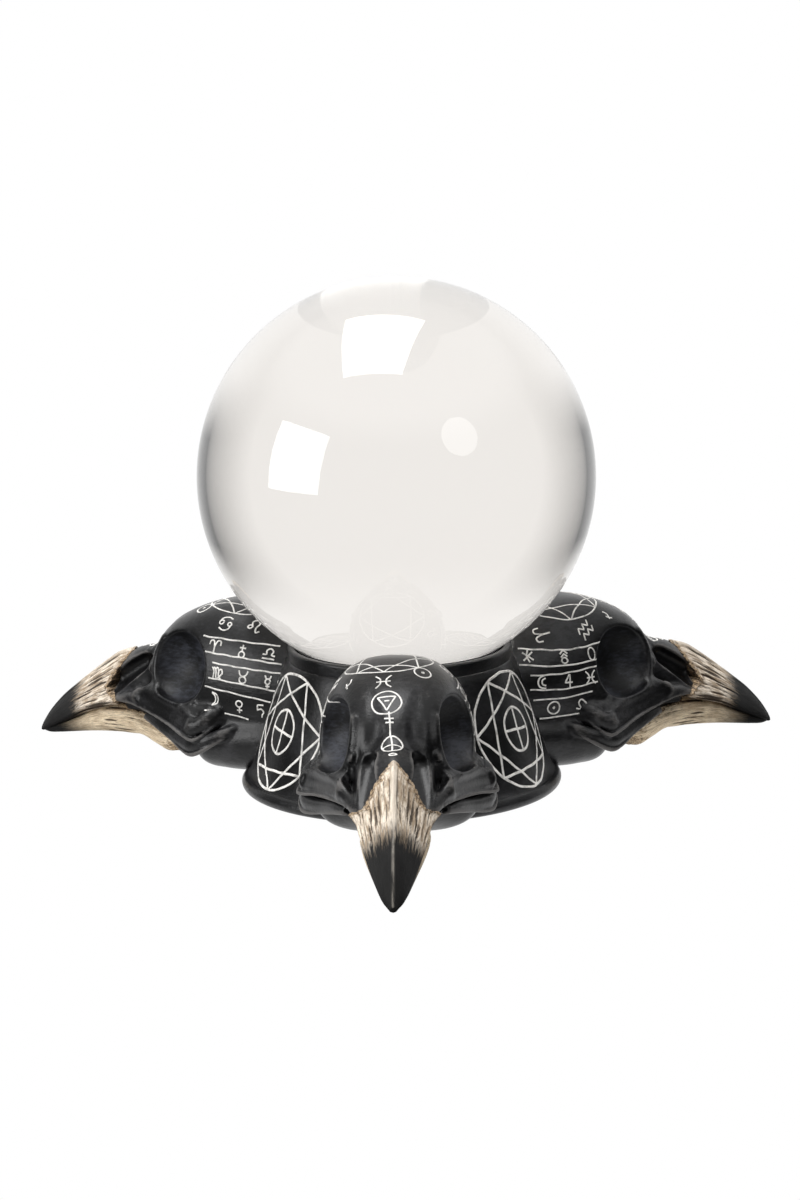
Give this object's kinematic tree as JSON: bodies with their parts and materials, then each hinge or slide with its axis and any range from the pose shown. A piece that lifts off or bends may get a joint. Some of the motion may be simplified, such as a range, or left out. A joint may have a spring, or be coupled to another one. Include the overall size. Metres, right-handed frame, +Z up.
{
  "type": "crystal ball",
  "caption": "Clear glass ball lying loose in the cup of a tapered drum stand, with bird skulls standing round the drum, beaks outwards and down.",
  "frame": {"origin": "centre of the underside, on the surface that the stand rests on, below the centre of the ball", "axes": "+Z up; one skull's beak points along -Y, the other two point 120 degrees to each side of it; X runs across the two rear beaks"},
  "size_m": [0.218, 0.1889, 0.1423],
  "materials": {
    "clear_glass": "polished clear glass with a faint warm tint",
    "cushion_felt": "black wool felt",
    "black_resin": "black satin paint on cast resin, dry-brushed grey, with off-white painted lines",
    "bone_black": "black satin paint on cast resin, dry-brushed blue-grey on the raised bone",
    "beak_ivory": "ivory paint with a brown wash in the grooves, fading to black at the tip",
    "white_lines": "off-white paint in fine engraved lines",
    "base_felt": "black self-adhesive felt"
  },
  "bodies": {
    "stand": {"collar": "black_resin", "drum": "black_resin", "foot_ring": "black_resin", "base_felt": "base_felt", "front_skull_cranium": "bone_black", "front_skull_upper_beak": "beak_ivory", "front_skull_lower_beak": "beak_ivory", "front_skull_jaw_left": "bone_black", "front_skull_jaw_right": "bone_black", "front_skull_cheek_left": "bone_black", "front_skull_cheek_right": "bone_black", "right_skull_cranium": "bone_black", "right_skull_upper_beak": "beak_ivory", "right_skull_lower_beak": "beak_ivory", "right_skull_jaw_left": "bone_black", "right_skull_jaw_right": "bone_black", "right_skull_cheek_left": "bone_black", "right_skull_cheek_right": "bone_black", "left_skull_cranium": "bone_black", "left_skull_upper_beak": "beak_ivory", "left_skull_lower_beak": "beak_ivory", "left_skull_jaw_left": "bone_black", "left_skull_jaw_right": "bone_black", "left_skull_cheek_left": "bone_black", "left_skull_cheek_right": "bone_black"},
    "cushion": {"cushion_ring": "cushion_felt"},
    "ball": {"glass_ball": "clear_glass"}
  },
  "joints": [
    {"name": "ball_spin", "type": "hinge", "parent": "stand", "child": "cushion", "pos_m": [0, 0, 0], "axis": [0, 0, 1], "continuous": true},
    {"name": "ball_lift", "type": "slide", "parent": "cushion", "child": "ball", "axis": [0, 0, 1], "range_m": [0, 0.06]}
  ]
}
